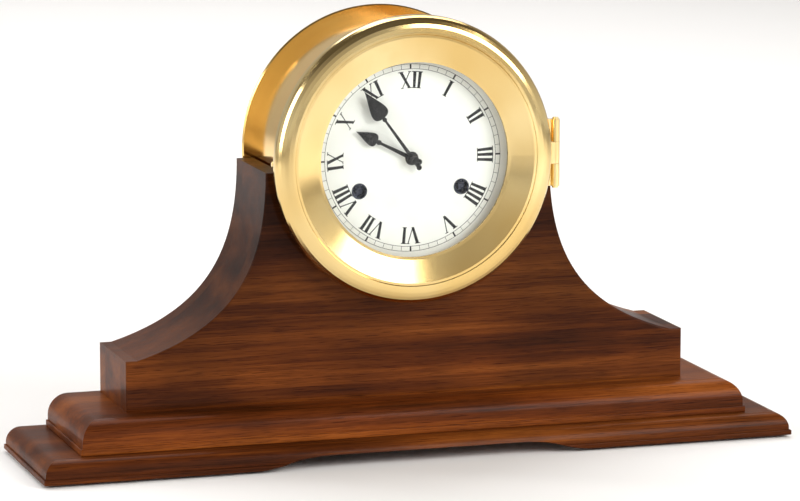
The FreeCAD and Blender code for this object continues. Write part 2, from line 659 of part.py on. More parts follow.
def dial():
    plate = disc(DIAL_RADIUS, DIAL_FRONT, DIAL_BACK)
    holes = hole_row(WINDING_HOLE, DIAL_FRONT - 1, DIAL_BACK + 1, (GOING_BARREL, STRIKE_BARREL))
    holes += hole_row(1.1, DIAL_FRONT - 1, DIAL_BACK + 1, dial_screw_places())
    return plate.cut(holes + [disc(4.4, DIAL_FRONT - 1, DIAL_BACK + 1)])


def slotted_screw(at, y, stem_radius, stem_end, head_radius, head_height, way):
    """A cheese-head screw whose head stands out from y. way is -1 for a head at the front, +1 at the back."""
    top = y + way * head_height
    head = disc(head_radius, min(y, top), max(y, top), at)
    stem = disc(stem_radius, min(y, stem_end), max(y, stem_end), at)
    cut = head_height * 0.45
    y0, y1 = sorted((top - way * cut, top + way))
    slot = block(at[0] - head_radius - 1, at[0] + head_radius + 1, y0, y1, at[1] - 0.3, at[1] + 0.3)
    return head.fuse(stem).removeSplitter().cut(slot)


def dial_screws():
    return Part.makeCompound([
        slotted_screw(p, DIAL_FRONT, 0.8, DIAL_BACK + 2, 1.6, 0.8, -1) for p in dial_screw_places()
    ])


def hand(length, boss, bore, y0, y1, waist, spade):
    """A spade hand that points up: a tapered stem, a round spade with a hollow neck, and a fine tip."""
    middle = length * spade
    width = length * 0.085
    stem = sheet([(-waist, 0), (waist, 0), (waist * 0.6, middle), (-waist * 0.6, middle)], y0, y1)

    def leaf_side(side):
        curve = Part.BezierCurve()
        curve.setPoles([V(0, y0, middle - width), V(side * width * 2.3, y0, middle - width * 0.9),
                        V(side * width * 0.6, y0, middle + width * 1.1), V(0, y0, length)])
        return curve.toShape()

    leaf = Part.Face(Part.Wire([leaf_side(1), leaf_side(-1)])).extrude(V(0, y1 - y0, 0))
    tail = link((0, 0), waist, (0, -length * 0.13), waist * 0.7, y0, y1)
    return fused([stem, leaf, tail, disc(boss, y0, y1)]).cut(disc(bore, y0 - 1, y1 + 1))


CANNON_BORE = CENTRE_ARBOR + RUNNING
CANNON_PIPE = CANNON_BORE + 0.7
HOUR_BORE = CANNON_PIPE + RUNNING
HOUR_PIPE = HOUR_BORE + 1.0
HOUR_HAND_Y = (DIAL_FRONT - 3.6, DIAL_FRONT - 2.9)
MINUTE_HAND_Y = (DIAL_FRONT - 6.2, DIAL_FRONT - 5.6)


def hour_hand():
    turn = 30 * (HOURS + MINUTES / 60)
    return spun(hand(HOUR_HAND, 5.2, HOUR_PIPE, *HOUR_HAND_Y, 1.6, 0.72), turn)


def minute_hand():
    return spun(hand(MINUTE_HAND, 4.2, CANNON_PIPE, *MINUTE_HAND_Y, 1.4, 0.70), 6 * MINUTES)


def hand_nut():
    front = MINUTE_HAND_Y[0]
    nut = turned([(CENTRE_ARBOR, front), (2.8, front), (2.8, front - 0.6), (2.0, front - 1.2),
                  (CENTRE_ARBOR, front - 1.2)])
    return nut


def cannon_pinion():
    """Pinion and pipe that carry the minute hand."""
    wheel, pinion, module = MINUTE_GEAR
    teeth = toothed(pinion, wheel, module, 0.0, MINUTE_Y[0] - 0.3, MINUTE_Y[1] + 0.3, CENTRE, pinion=True)
    pipe = disc(CANNON_PIPE, MINUTE_HAND_Y[0], PLATE_1_FRONT - FIT)
    return fused([teeth, pipe]).cut(disc(CANNON_BORE - RUNNING, MINUTE_HAND_Y[0] - 1, PLATE_1_FRONT + 1))


def minute_wheel():
    """Wheel turned by the cannon pinion, with the pinion that turns the hour wheel, on a stud's bore."""
    gear_turn = mesh_phase(MINUTE_GEAR[1::-1] + (MINUTE_GEAR[2],), CENTRE, MINUTE_WHEEL)
    wheel, pinion, module = MINUTE_GEAR
    rim = toothed(wheel, pinion, module, gear_turn, *MINUTE_Y, MINUTE_WHEEL)
    hour_teeth, small, hour_module = HOUR_GEAR
    teeth = toothed(small, hour_teeth, hour_module, 0.0, DIAL_BACK + 1.0, MINUTE_Y[0], MINUTE_WHEEL, pinion=True)
    return fused([rim, teeth]).cut(disc(0.9 + RUNNING, DIAL_BACK, PLATE_1_FRONT + 1, MINUTE_WHEEL))


def hour_wheel():
    """Wheel and pipe that carry the hour hand."""
    hour_teeth, small, module = HOUR_GEAR
    swapped = (small, hour_teeth, module)
    turn = mesh_phase(swapped, MINUTE_WHEEL, CENTRE)
    rim = toothed(hour_teeth, small, module, turn, *HOUR_Y, CENTRE)
    pipe = disc(HOUR_PIPE, HOUR_HAND_Y[0], HOUR_Y[1])
    return fused([rim, pipe]).cut(disc(HOUR_BORE, HOUR_HAND_Y[0] - 1, HOUR_Y[1] + 1))


# ================================================================ movement frame
def front_plate():
    y0, y1 = PLATE_1_FRONT, PLATE_1
    plate = disc(FRONT_PLATE_RADIUS, y0, y1)
    cut = (y0 - 1, y1 + 1)
    holes = hole_row(PIVOT_RADIUS + RUNNING, *cut, PIVOTS + (HAMMER,))
    holes += hole_row(BALANCE_PIVOT + RUNNING, *cut, [BALANCE])
    holes += hole_row(WINDING_ARBOR + RUNNING, *cut, (GOING_BARREL, STRIKE_BARREL))
    holes += hole_row(SCREW_RADIUS + FIT, *cut, PILLARS + LUGS)
    holes += hole_row(1.0 + RUNNING, *cut, [RELEASE])
    holes.append(disc(CENTRE_ARBOR + RUNNING, *cut))
    plate = plate.cut(holes)
    studs = [disc(0.9, DIAL_BACK + 0.8, y0 + 1, MINUTE_WHEEL)]
    studs += [disc(1.2, RATCHET_Y[0] - 0.4, y0 + 1, click_pivot(b)) for b in (GOING_BARREL, STRIKE_BARREL)]
    return plate.fuse(studs).removeSplitter()


def back_plate():
    y0, y1 = PLATE_2, PLATE_2_BACK
    plate = disc(BACK_PLATE_RADIUS, y0, y1)
    cut = (y0 - 1, y1 + 1)
    holes = hole_row(PIVOT_RADIUS + RUNNING, *cut, PIVOTS + (CENTRE,))
    holes += hole_row(WINDING_ARBOR + RUNNING, *cut, (GOING_BARREL, STRIKE_BARREL))
    holes += hole_row(SCREW_RADIUS + FIT, *cut, PILLARS)
    holes += hole_row(ARBOR_RADIUS + RUNNING, *cut, [HAMMER])
    holes += hole_row(2.0, *cut, [BALANCE])
    holes += hole_row(COCK_SCREW + FIT / 2, *cut, [cock_foot()])
    holes.append(disc(3.0 + FIT / 2, *cut, (0, BELL_DROP)))
    return plate.cut(holes)


def pillars():
    posts = []
    for place in PILLARS:
        post = disc(PILLAR_RADIUS, PLATE_1, PLATE_2, place)
        waist = ring(PILLAR_RADIUS + 1, PILLAR_RADIUS - 1, PLATE_1 + 6, PLATE_2 - 6, place)
        bore = disc(SCREW_RADIUS + FIT / 4, PLATE_1 - 1, PLATE_2 + 1, place)
        posts.append(post.cut([waist, bore]))
    return Part.makeCompound(posts)


def plate_screws():
    """Four screws in each end of the pillars, and the one that holds the balance cock."""
    screws = []
    for place in PILLARS:
        screws.append(slotted_screw(place, PLATE_1_FRONT, SCREW_RADIUS, PLATE_1 + 8, 2.8, 1.6, -1))
        screws.append(slotted_screw(place, PLATE_2_BACK, SCREW_RADIUS, PLATE_2 - 8, 2.8, 1.6, 1))
    screws.append(slotted_screw(cock_foot(), PLATE_2, COCK_SCREW, PLATE_2_BACK + 5, 1.9, 1.2, -1))
    return Part.makeCompound(screws)


def case_screws():
    return Part.makeCompound([
        slotted_screw(p, PLATE_1_FRONT, SCREW_RADIUS, PLATE_1 + 6, 2.4, 1.6, -1) for p in LUGS
    ])


# ================================================================ barrels and winding
def barrel(at):
    teeth, mate, module = BARREL_GEAR
    wheel = toothed(teeth, mate, module, 0.0, *BARREL_TEETH_Y, at)
    wall = ring(BARREL_RADIUS, BARREL_RADIUS - BARREL_WALL, BARREL_Y[0], BARREL_TEETH_Y[1], at)
    return fused([wheel, wall]).cut(disc(WINDING_ARBOR + RUNNING, BARREL_Y[0], BARREL_Y[1] + 1, at))


def barrel_cover(at):
    outer = BARREL_RADIUS - BARREL_WALL - FIT / 4
    return ring(outer, WINDING_ARBOR + RUNNING, BARREL_Y[0] + 0.4, BARREL_Y[0] + 1.8, at)


def spiral(at, inner, pitch, turns, thick, y0, y1):
    """A strip coiled in half circles whose centres change sides."""
    edges_out, edges_in = [], []
    for i in range(2 * turns):
        side = 1 if i % 2 == 0 else -1
        middle = (at[0] - side * pitch / 4, at[1])
        r = inner + i * pitch / 2
        for edges, radius in ((edges_out, r + thick / 2), (edges_in, r - thick / 2)):
            start = V(middle[0] + side * radius, y0, middle[1])
            top = V(middle[0], y0, middle[1] + side * radius)
            stop = V(middle[0] - side * radius, y0, middle[1])
            edges.append(Part.Arc(start, top, stop).toShape())
    first = Part.makeLine(edges_in[0].Vertexes[0].Point, edges_out[0].Vertexes[0].Point)
    last = Part.makeLine(edges_in[-1].Vertexes[1].Point, edges_out[-1].Vertexes[1].Point)
    wire = Part.Wire(Part.__sortEdges__(edges_out + edges_in + [first, last]))
    return Part.Face(wire).extrude(V(0, y1 - y0, 0))


def mainspring(at):
    room = BARREL_RADIUS - BARREL_WALL - 0.8
    inner, turns = 8.0, 9
    pitch = (room - inner) / (turns + 0.25)
    return spiral(at, inner, pitch, turns, 0.7, BARREL_Y[0] + 2.4, BARREL_TEETH_Y[0] - 0.6)


def winding_arbor(at):
    """Arbor with a collar inside the barrel and a square for the key."""
    shaft = disc(WINDING_ARBOR, PLATE_1_FRONT + 0.2, PLATE_2_BACK - 0.4, at)
    collar = disc(5.6, BARREL_Y[0] + 2.4, BARREL_TEETH_Y[0] - 0.6, at)
    half = WINDING_ARBOR * 0.69
    square = block(at[0] - half, at[0] + half, DIAL_BACK + 0.6, PLATE_1_FRONT + 1, at[1] - half, at[1] + half)
    return fused([shaft, collar, square])


def ratchet(at, hand_way):
    """Saw-toothed wheel on the arbor's square. hand_way is +1 or -1: the way its teeth lean."""
    points = []
    for i in range(RATCHET_TEETH):
        a = 2 * math.pi * i / RATCHET_TEETH
        b = a + hand_way * 2 * math.pi / RATCHET_TEETH * 0.92
        for r, angle in ((RATCHET_RADIUS - 1.1, a), (RATCHET_RADIUS, b)):
            points.append((at[0] + r * math.cos(angle), at[1] + r * math.sin(angle)))
    half = WINDING_ARBOR * 0.69
    square = block(at[0] - half, at[0] + half, DIAL_BACK, PLATE_1_FRONT + 1, at[1] - half, at[1] + half)
    return sheet(points, *RATCHET_Y).cut(square)


def click_pivot(at):
    side = 1 if at[0] > 0 else -1
    return polar(at, RATCHET_RADIUS + 5.5, 90 - side * 20)


def click(at):
    """The pawl that holds a ratchet wheel, on its stud."""
    side = 1 if at[0] > 0 else -1
    pivot = click_pivot(at)
    tip = polar(at, RATCHET_RADIUS + 0.9, 90 + side * 14)
    bar = link(pivot, 2.4, tip, 0.7, *RATCHET_Y)
    return bar.cut(disc(1.2 + RUNNING, RATCHET_Y[0] - 1, RATCHET_Y[1] + 1, pivot))


# ================================================================ going train
def intermediate_wheel():
    return wheel_set(INTERMEDIATE, SECOND_GEAR, SECOND_Y, BARREL_GEAR, FIRST_PINION_Y, GOING_BARREL, 5)


def centre_wheel():
    """Centre wheel, its pinion, and the arbor that runs out through the dial to the hands."""
    shaft = disc(CENTRE_ARBOR, MINUTE_HAND_Y[0] - 1.2, PLATE_2 - END_SHAKE)
    pivot = disc(PIVOT_RADIUS, PLATE_2 - 1, PLATE_2_BACK - 0.4)
    wheel = wheel_disc(CENTRE_GEAR, *CENTRE_Y, CENTRE)
    pinion = pinion_disc(SECOND_GEAR, INTERMEDIATE, SECOND_Y[0] - 1.0, SECOND_Y[1] + 1.0, CENTRE)
    return fused([shaft, pivot, wheel, pinion])


def third_wheel():
    return wheel_set(THIRD, THIRD_GEAR, THIRD_Y, CENTRE_GEAR, (CENTRE_Y[0] - 1, CENTRE_Y[1] + 1), CENTRE)


def fourth_wheel():
    return wheel_set(FOURTH, FOURTH_GEAR, FOURTH_Y, THIRD_GEAR, (THIRD_Y[0] - 1, THIRD_Y[1] + 1), THIRD)


def escape_wheel():
    points = []
    for i in range(ESCAPE_TEETH):
        a = -2 * math.pi * i / ESCAPE_TEETH
        for r, share in ((ESCAPE_RADIUS - 2.0, 0.0), (ESCAPE_RADIUS, 0.42), (ESCAPE_RADIUS, 0.56),
                         (ESCAPE_RADIUS - 2.0, 0.50)):
            angle = a - 2 * math.pi / ESCAPE_TEETH * share
            points.append((ESCAPE[0] + r * math.cos(angle), ESCAPE[1] + r * math.sin(angle)))
    pinion = pinion_disc(FOURTH_GEAR, FOURTH, FOURTH_Y[0] - 1, FOURTH_Y[1] + 1, ESCAPE)
    return fused([arbor(ESCAPE, 0.95), sheet(points, *ESCAPE_Y), pinion])


def pallet_lever():
    """Lever with two pallets and a fork that stops just short of the balance's pin."""
    pieces = [arbor(LEVER, 0.95)]
    for side in (-1, 1):
        pallet = polar(ESCAPE, ESCAPE_RADIUS + 1.15, 90 + side * 30)
        pieces.append(link(LEVER, 1.4, pallet, 0.55, *ESCAPE_Y))
        prong = polar(LEVER, 8.3, 90 + side * 7)
        pieces.append(link(polar(LEVER, 6.0, 90), 0.9, prong, 0.35, *ESCAPE_Y))
    pieces.append(link(LEVER, 1.4, polar(LEVER, 6.0, 90), 0.9, *ESCAPE_Y))
    return fused(pieces)


def balance_wheel():
    """Balance with staff, roller and impulse pin."""
    rim = ring(BALANCE_RADIUS, BALANCE_RADIUS - 2.0, *BALANCE_Y, BALANCE)
    arm = block(BALANCE[0] - BALANCE_RADIUS + 1, BALANCE[0] + BALANCE_RADIUS - 1, *BALANCE_Y,
                BALANCE[1] - 1.0, BALANCE[1] + 1.0)
    hub = disc(2.4, *BALANCE_Y, BALANCE)
    staff = disc(1.0, PLATE_1 + END_SHAKE, COCK_Y[0] - END_SHAKE, BALANCE)
    pivots = disc(BALANCE_PIVOT, PLATE_1_FRONT + 0.4, COCK_Y[1] - 0.4, BALANCE)
    roller = disc(2.2, ESCAPE_Y[0] - 1.6, ESCAPE_Y[0] - 0.4, BALANCE)
    pin = disc(0.3, ESCAPE_Y[0] - 1, ESCAPE_Y[1], polar(BALANCE, 1.7, 270))
    return fused([rim, arm, hub, staff, pivots, roller, pin])


def hairspring():
    coil = spiral(BALANCE, 3.0, 0.9, 6, 0.2, BALANCE_Y[1] + 1.2, BALANCE_Y[1] + 1.9)
    collet = ring(3.1, 1.0, BALANCE_Y[1] + 1.0, BALANCE_Y[1] + 2.1, BALANCE)
    return coil.fuse(collet).removeSplitter()


def cock_foot():
    return polar(BALANCE, BALANCE_RADIUS + 6.5, -28)


def balance_cock():
    """Bridge behind the back plate that holds the balance's back pivot."""
    foot = cock_foot()
    post = disc(4.0, PLATE_2_BACK, COCK_Y[1], foot)
    bar = link(foot, 4.0, BALANCE, 3.2, *COCK_Y)
    bore = disc(BALANCE_PIVOT + RUNNING, COCK_Y[0] - 1, COCK_Y[1] + 2, BALANCE)
    screw_hole = disc(COCK_SCREW + FIT / 4, PLATE_2_BACK - 1, PLATE_2_BACK + 6, foot)
    collar = ring(INDEX_BORE, BALANCE_PIVOT + RUNNING, COCK_Y[1], COCK_Y[1] + 1.4, BALANCE)
    return fused([post, bar, collar]).cut([bore, screw_hole])


def regulator_index():
    """The lever that sets the rate, on the collar of the balance cock."""
    y = (COCK_Y[1] + FIT, COCK_Y[1] + 1.1)
    pointer = link(BALANCE, 3.8, polar(BALANCE, 17, 90), 0.6, *y)
    tail = link(BALANCE, 3.8, polar(BALANCE, 9, 240), 1.0, *y)
    return fused([pointer, tail]).cut(disc(INDEX_BORE + RUNNING, y[0] - 1, y[1] + 1, BALANCE))


# ================================================================ strike train
def strike_second_wheel():
    return wheel_set(STRIKE_SECOND, SECOND_GEAR, SECOND_Y, BARREL_GEAR, FIRST_PINION_Y, STRIKE_BARREL, 5)


PIN_RING = 13.0


def pin_wheel():
    """Wheel whose eight pins lift the hammer."""
    body = wheel_set(PIN_WHEEL, PIN_GEAR, PIN_Y, SECOND_GEAR, (SECOND_Y[0] - 1, SECOND_Y[1] + 1), STRIKE_SECOND)
    rim = ring(PIN_RING + 1.4, PIN_RING - 1.4, *PIN_Y, PIN_WHEEL)
    pins = [disc(0.6, PIN_Y[0], PIN_Y[1] + 2.4, polar(PIN_WHEEL, PIN_RING, 45 * i)) for i in range(8)]
    return fused([body, rim] + pins)


def warning_wheel():
    return wheel_set(WARNING, WARNING_GEAR, WARNING_Y, PIN_GEAR, (PIN_Y[0] - 1, PIN_Y[1] + 1), PIN_WHEEL)


def fly():
    """Air brake of the strike train."""
    y = (PLATE_1 + 2.0, PLATE_1 + 11.5)
    pinion = pinion_disc(WARNING_GEAR, WARNING, WARNING_Y[0] - 1, WARNING_Y[1] + 1, FLY)
    blade = block(FLY[0] - 10.3, FLY[0] + 10.3, *y, FLY[1] - 0.3, FLY[1] + 0.3)
    hub = disc(1.9, *y, FLY)
    return fused([arbor(FLY), pinion, blade, hub])


def hammer():
    """Hammer arbor, lifting tail, arm and head."""
    arm_y = (PLATE_2_BACK + 22.0, PLATE_2_BACK + 25.0)
    shaft = disc(ARBOR_RADIUS, PLATE_1 + END_SHAKE, arm_y[1] + 1, HAMMER)
    pivot = disc(PIVOT_RADIUS, PLATE_1_FRONT + 0.4, PLATE_1 + 1, HAMMER)
    tail_reach = math.dist(HAMMER, PIN_WHEEL) - PIN_RING - 1.9
    tail_end = polar(HAMMER, tail_reach, math.degrees(bearing(HAMMER, PIN_WHEEL)))
    tail = link(HAMMER, 2.4, tail_end, 0.7, PIN_Y[1] + 0.6, PIN_Y[1] + 2.2)
    arm = link(HAMMER, 2.6, HAMMER_HEAD, 1.6, *arm_y)
    head = disc(5.0, arm_y[0] - 3.0, arm_y[1] + 3.0, HAMMER_HEAD)
    return fused([shaft, pivot, tail, arm, head])


def release_lever():
    """Lever that frees the strike: its long arm reaches the cannon pinion, its short one the warning wheel."""
    front = (PLATE_1_FRONT - 2.2, PLATE_1_FRONT - 1.0)
    inner = (WARNING_Y[0] - 0.2, WARNING_Y[1] + 0.2)
    post = disc(1.0, front[0], inner[1], RELEASE)
    long_arm = link(RELEASE, 2.4, polar(CENTRE, 6.6, 115), 0.9, *front)
    tip = polar(RELEASE, 5.4, math.degrees(bearing(RELEASE, WARNING)))
    return fused([post, long_arm, link(RELEASE, 2.0, tip, 0.8, *inner)])


def bell():
    """Cup-shaped bell, open to the front."""
    r, wall = BELL_RADIUS, 2.0
    mouth, crown = PLATE_2_BACK + 16.0, PLATE_2_BACK + 35.0

    def cup(radius, back):
        return [
            (radius * math.cos(math.radians(a)), mouth + (back - mouth) * math.sin(math.radians(a)))
            for a in range(0, 76, 15)
        ] + [(radius * 0.12, back)]

    outside, inside = cup(r, crown), cup(r - wall, crown - wall)
    bore = 2.0 + FIT
    profile = outside + [(bore, crown), (bore, crown - wall)] + inside[::-1]
    return turned(profile, (0, BELL_DROP))


def bell_post():
    """Post on the back plate that carries the bell, with its nut."""
    at = (0, BELL_DROP)
    crown = PLATE_2_BACK + 35.0
    seat = crown - 2.0 - FIT
    post = disc(3.6, PLATE_2_BACK, seat, at)
    stub = disc(3.0, PLATE_2 + 0.4, PLATE_2_BACK + 1, at)
    stem = disc(2.0, seat - 1, crown + 2.4, at)
    nut = disc(4.0, crown + FIT, crown + 2.0, at)
    return fused([post, stub, stem, nut])


# ================================================================ export
def save(name, shape, raised=True):
    """Writes one node in the clock's own frame. A raised node was laid out round the dial's centre."""
    shape = shape.copy()
    shape.translate(V(0, -ORIGIN_Y, DIAL_Z if raised else 0))
    if not shape.isValid() or not shape.Solids:
        raise RuntimeError(f"{name} is not a valid solid")
    shape.exportStep(f"parts/{name}.step")


def main():
    os.makedirs("parts", exist_ok=True)
    case = {
        "plinth": plinth(), "base_moulding": base_moulding(), "front_board": front_board(),
        "back_board": back_board(), "left_core_block": core_block(-1), "right_core_block": core_block(1),
        "base_screws": base_screws(), "feet": feet(),
    }
    for name, shape in case.items():
        save(name, shape, raised=False)
    makers = [
        cradle_felt, drum_shell, flange_screws, front_ring, hinge_pin, bezel, glass, glass_ring, catch_button,
        dial, dial_screws, hour_hand, minute_hand, hand_nut, cannon_pinion, minute_wheel, hour_wheel,
        front_plate, back_plate, pillars, plate_screws, case_screws,
        intermediate_wheel, centre_wheel, third_wheel, fourth_wheel, escape_wheel, pallet_lever,
        balance_wheel, hairspring, balance_cock, regulator_index,
        strike_second_wheel, pin_wheel, warning_wheel, fly, hammer, release_lever, bell, bell_post,
    ]
    for make in makers:
        save(make.__name__, make())
    for train, at in (("going", GOING_BARREL), ("strike", STRIKE_BARREL)):
        save(f"{train}_barrel", barrel(at))
        save(f"{train}_barrel_cover", barrel_cover(at))
        save(f"{train}_mainspring", mainspring(at))
        save(f"{train}_winding_arbor", winding_arbor(at))
        save(f"{train}_ratchet", ratchet(at, 1 if train == "going" else -1))
        save(f"{train}_click", click(at))
    for name, place in (("centre", CENTRE), ("intermediate", INTERMEDIATE), ("third", THIRD),
                        ("fourth", FOURTH), ("escape", ESCAPE), ("lever", LEVER), ("balance", BALANCE),
                        ("strike_second", STRIKE_SECOND), ("pin_wheel", PIN_WHEEL), ("warning", WARNING),
                        ("fly", FLY), ("hammer", HAMMER), ("release", RELEASE), ("minute_wheel", MINUTE_WHEEL),
                        ("going_click", click_pivot(GOING_BARREL)), ("strike_click", click_pivot(STRIKE_BARREL)),
                        ("going_barrel", GOING_BARREL), ("strike_barrel", STRIKE_BARREL)):
        print(f"axis {name} {place[0] / 1000:.8f} {(place[1] + DIAL_Z) / 1000:.8f}")
    print(f"hinge {HINGE_X / 1000:.6f} {(HINGE_Y - ORIGIN_Y) / 1000:.6f} dial_z {DIAL_Z / 1000:.6f}")


main()
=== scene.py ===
"""Looks of the mantel clock: mahogany case, spun and polished brass drum, printed dial and spade hands.

Everything is in metres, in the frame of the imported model: +X the dial's right, +Y the back, +Z up.
"""
import json
import math

import bmesh
import bpy
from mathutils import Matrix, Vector


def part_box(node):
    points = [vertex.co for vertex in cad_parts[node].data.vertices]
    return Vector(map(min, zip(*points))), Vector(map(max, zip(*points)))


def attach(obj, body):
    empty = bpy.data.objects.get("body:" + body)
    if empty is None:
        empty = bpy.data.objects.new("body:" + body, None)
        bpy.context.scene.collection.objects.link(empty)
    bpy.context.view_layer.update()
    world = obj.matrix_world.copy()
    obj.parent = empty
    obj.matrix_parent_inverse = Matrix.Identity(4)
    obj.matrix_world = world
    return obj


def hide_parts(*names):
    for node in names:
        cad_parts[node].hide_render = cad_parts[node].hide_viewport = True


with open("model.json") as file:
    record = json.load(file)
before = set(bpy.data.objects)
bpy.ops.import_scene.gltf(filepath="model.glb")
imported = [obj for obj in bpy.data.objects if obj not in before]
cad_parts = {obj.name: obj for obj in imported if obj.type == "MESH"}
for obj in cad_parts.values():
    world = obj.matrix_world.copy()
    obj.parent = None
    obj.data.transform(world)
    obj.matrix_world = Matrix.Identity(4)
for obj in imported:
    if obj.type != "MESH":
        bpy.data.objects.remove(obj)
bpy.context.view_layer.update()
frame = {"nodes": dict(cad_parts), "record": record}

MM = 0.001


def ring_of(count):
    """(index, next index) pairs round a closed ring of count corners."""
    return [(i, (i + 1) % count) for i in range(count)]


def low(node):
    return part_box(node)[0]


def high(node):
    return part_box(node)[1]


# ---------------------------------------------------------------- places read from the frame
DIAL = (low("glass") + high("glass")) / 2       # the dial's centre, at the glass
DIAL_FRONT = low("dial").y
CASE_MIDDLE_Y = (low("front_board").y + high("back_board").y) / 2
RATCHET_FRONT = low("going_ratchet").y

# ---------------------------------------------------------------- view
CAMERA_AZIMUTH = 17.67      # degrees to the left of the front
CAMERA_ELEVATION = 9.67
CAMERA_DISTANCE = 3.284
CAMERA_PIVOT = Vector((0, CASE_MIDDLE_Y, 0.150))
CAMERA_AIM = Vector((0.0058, CASE_MIDDLE_Y, 0.1496))
CAMERA_LENS = 190.0


def make_camera():
    a, e = math.radians(CAMERA_AZIMUTH), math.radians(CAMERA_ELEVATION)
    out = Vector((-math.sin(a) * math.cos(e), -math.cos(a) * math.cos(e), math.sin(e)))
    data = bpy.data.cameras.new("camera")
    data.lens = CAMERA_LENS
    data.clip_start, data.clip_end = 0.05, 60
    camera = bpy.data.objects.new("camera", data)
    bpy.context.scene.collection.objects.link(camera)
    camera.location = CAMERA_PIVOT + out * CAMERA_DISTANCE
    camera.rotation_euler = (CAMERA_AIM - camera.location).to_track_quat("-Z", "Y").to_euler()
    bpy.context.scene.camera = camera


def softbox(name, place, aim, width, height, power, colour=(1, 1, 1)):
    """A rectangular area light at place that shines towards aim."""
    data = bpy.data.lights.new(name, "AREA")
    data.shape = "RECTANGLE"
    data.size, data.size_y = width, height
    data.energy = power
    data.color = colour
    light = bpy.data.objects.new(name, data)
    bpy.context.scene.collection.objects.link(light)
    light.location = place
    light.rotation_euler = (Vector(aim) - Vector(place)).to_track_quat("-Z", "Y").to_euler()


def make_lights():
    middle = (0, 0, 0.15)
    softbox("key_light", (1.35, -1.75, 1.25), middle, 1.5, 1.2, 46, (1.0, 0.985, 0.96))
    softbox("left_light", (-1.9, -0.9, 0.85), middle, 0.7, 1.3, 15)
    softbox("drum_strip", (-1.5, 0.9, 1.1), (0, 0, 0.2), 0.22, 1.4, 9)
    softbox("floor_light", (0.2, 2.0, 2.6), (0, 1.8, 0), 3.0, 2.6, 84)


def make_world():
    """A bright horizon under a darker ceiling, as in a white cove lit from its sides."""
    world = bpy.data.worlds.new("studio")
    world.use_nodes = True
    tree = world.node_tree
    direction = tree.nodes.new("ShaderNodeTexCoord").outputs["Generated"]
    parts = tree.nodes.new("ShaderNodeSeparateXYZ")
    fade = tree.nodes.new("ShaderNodeValToRGB")
    tree.links.new(direction, parts.inputs[0])
    tree.links.new(parts.outputs["Z"], fade.inputs[0])
    tree.links.new(fade.outputs["Color"], tree.nodes["Background"].inputs["Color"])
    horizon, ceiling = fade.color_ramp.elements
    horizon.position, horizon.color = 0.05, (1.0, 0.985, 0.96, 1)
    ceiling.position, ceiling.color = 0.75, (0.16, 0.145, 0.13, 1)
    tree.nodes["Background"].inputs["Strength"].default_value = 0.72
    bpy.context.scene.world = world


# ---------------------------------------------------------------- node helpers
class Nodes:
    """A material's node tree, with short ways to add and join its nodes."""

    def __init__(self, name):
        self.material = bpy.data.materials.new(name)
        self.material.use_nodes = True
        self.tree = self.material.node_tree
        self.shader = self.tree.nodes["Principled BSDF"]
        self.output = self.tree.nodes["Material Output"]

    def add(self, kind, **inputs):
        node = self.tree.nodes.new("ShaderNode" + kind)
        for key, value in inputs.items():
            socket = node.inputs[key.replace("_", " ")]
            if isinstance(value, bpy.types.NodeSocket):
                self.tree.links.new(value, socket)
            else:
                socket.default_value = value
        return node

    def place(self, scale=(1, 1, 1), turn=(0, 0, 0), start=(0, 0, 0)):
        """Object coordinates, moved, turned and scaled."""
        coordinates = self.add("TexCoord").outputs["Object"]
        return self.add("Mapping", Vector=coordinates, Scale=scale, Rotation=turn, Location=start).outputs[0]

    def noise(self, vector, detail=4.0, roughness=0.55, distortion=0.0):
        node = self.add("TexNoise", Vector=vector, Scale=1.0, Detail=detail, Roughness=roughness,
                        Distortion=distortion)
        return node.outputs["Fac"]

    def ramp(self, value, *stops):
        """A colour ramp from (place, colour or grey) stops."""
        node = self.add("ValToRGB", Fac=value)
        line = node.color_ramp.elements
        while len(line) < len(stops):
            line.new(0.5)
        for element, (at, colour) in zip(line, stops):
            element.position = at
            element.color = (colour,) * 3 + (1,) if isinstance(colour, (int, float)) else (*colour, 1)
        return node.outputs["Color"]

    def math(self, operation, a, b=0.5):
        node = self.tree.nodes.new("ShaderNodeMath")
        node.operation = operation
        for socket, value in zip(node.inputs, (a, b)):
            if isinstance(value, bpy.types.NodeSocket):
                self.tree.links.new(value, socket)
            else:
                socket.default_value = value
        return node.outputs[0]

    def mix(self, share, a, b, blend="MIX"):
        node = self.tree.nodes.new("ShaderNodeMix")
        node.data_type, node.blend_type = "RGBA", blend
        for key, value in ((0, share), (6, a), (7, b)):
            if isinstance(value, bpy.types.NodeSocket):
                self.tree.links.new(value, node.inputs[key])
            else:
                node.inputs[key].default_value = (*value, 1) if isinstance(value, tuple) else value
        return node.outputs[2]

    def bump(self, height, distance, strength=1.0, under=None):
        node = self.add("Bump", Height=height, Distance=distance, Strength=strength)
        if under is not None:
            self.tree.links.new(under, node.inputs["Normal"])
        return node.outputs[0]

    def set(self, **inputs):
        for key, value in inputs.items():
            socket = self.shader.inputs[key.replace("_", " ")]
            if isinstance(value, bpy.types.NodeSocket):
                self.tree.links.new(value, socket)
            elif socket.type == "RGBA":
                socket.default_value = (*value, 1)
            else:
                socket.default_value = value
        return self.material


